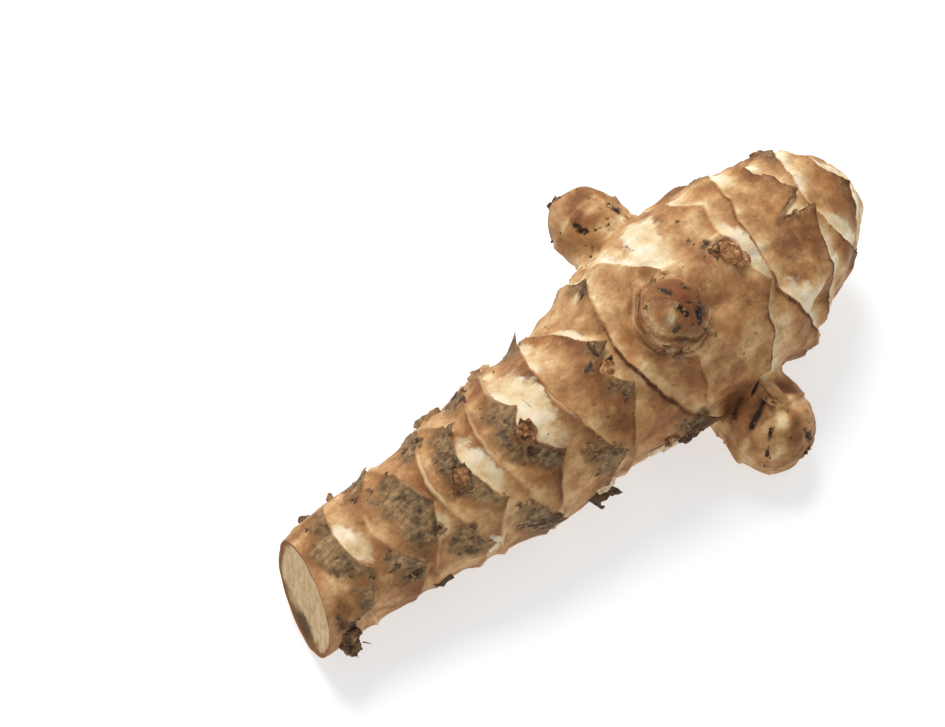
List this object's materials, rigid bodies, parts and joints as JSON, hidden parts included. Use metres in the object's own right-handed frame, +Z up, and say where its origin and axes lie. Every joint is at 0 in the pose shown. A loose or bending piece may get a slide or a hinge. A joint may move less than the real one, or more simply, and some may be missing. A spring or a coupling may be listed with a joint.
{
  "type": "jerusalem artichoke",
  "caption": "Whole Jerusalem artichoke tuber: elongated knobbly body with ringed scale scars, buds, side knobs, a cut stolon end and a blunt crown, lying on its belly.",
  "frame": {"origin": "centre of the bounding box on the plane the tuber rests on", "axes": "+X along the tuber from the cut stolon end to the crown, +Z up as it lies"},
  "size_m": [0.1136, 0.0544, 0.0345],
  "materials": {
    "tuber_skin": "thin tan cork-like skin, matte, with papery grey-brown leaf scales, cream torn patches and a pale cut end"
  },
  "bodies": {
    "root": {"tuber": "tuber_skin"}
  },
  "joints": []
}
